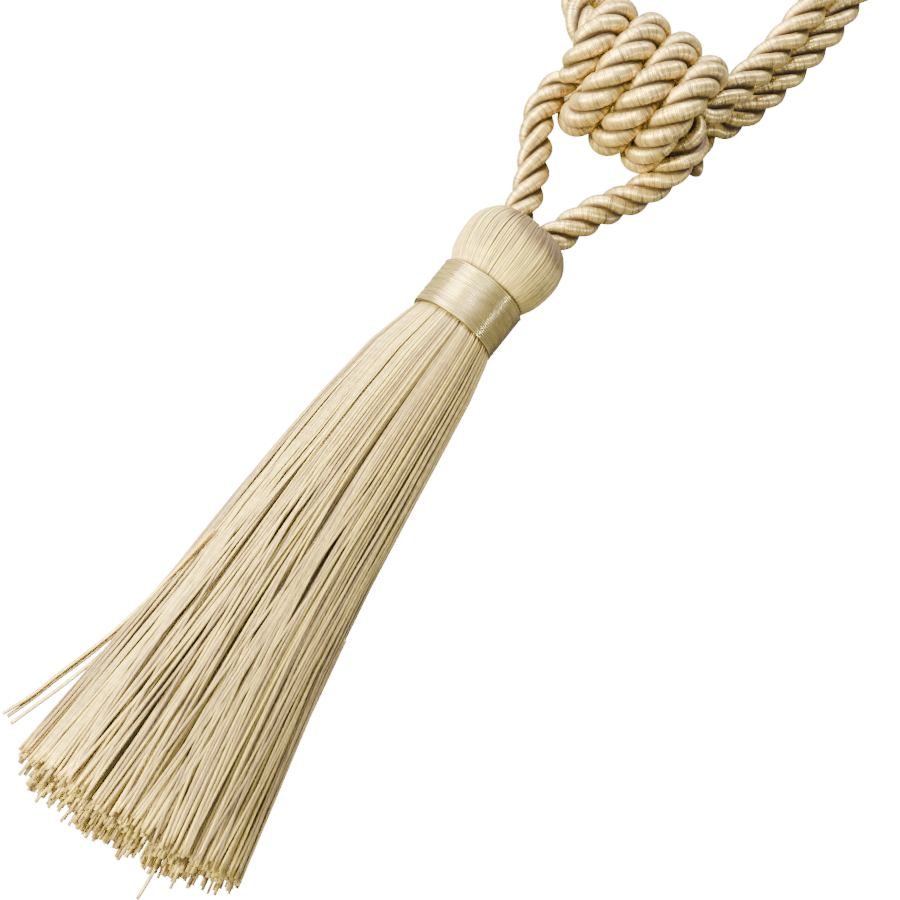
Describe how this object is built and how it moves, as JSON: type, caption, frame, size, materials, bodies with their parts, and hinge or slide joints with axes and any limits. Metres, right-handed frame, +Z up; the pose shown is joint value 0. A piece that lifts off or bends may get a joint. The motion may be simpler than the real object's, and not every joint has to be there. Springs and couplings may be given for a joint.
{
  "type": "curtain tieback tassel",
  "caption": "Curtain tieback: a large fringed tassel with a bound neck hangs from a barrel knot in a doubled three-ply rope with a loop at each end.",
  "frame": {"origin": "bottom centre of the box round tassel, neck band, tassel rope and knot, on the surface it lies on", "axes": "+Z up from the surface; the tassel points to -X -Y and the two tie loops run to +Y, as the tieback lies in the picture"},
  "size_m": [0.2862, 0.4492, 0.0451],
  "materials": {
    "skirt_yarn": "matt champagne-gold twisted yarn",
    "band_thread": "satin gold thread wound close",
    "rope_satin": "cream-gold satin-wrapped three-ply rope"
  },
  "bodies": {
    "root": {"tassel": "skirt_yarn", "neck_band": "band_thread", "tassel_loop": "rope_satin", "knot_wraps": "rope_satin", "tie_loop_left": "rope_satin", "tie_loop_right": "rope_satin"}
  },
  "joints": []
}
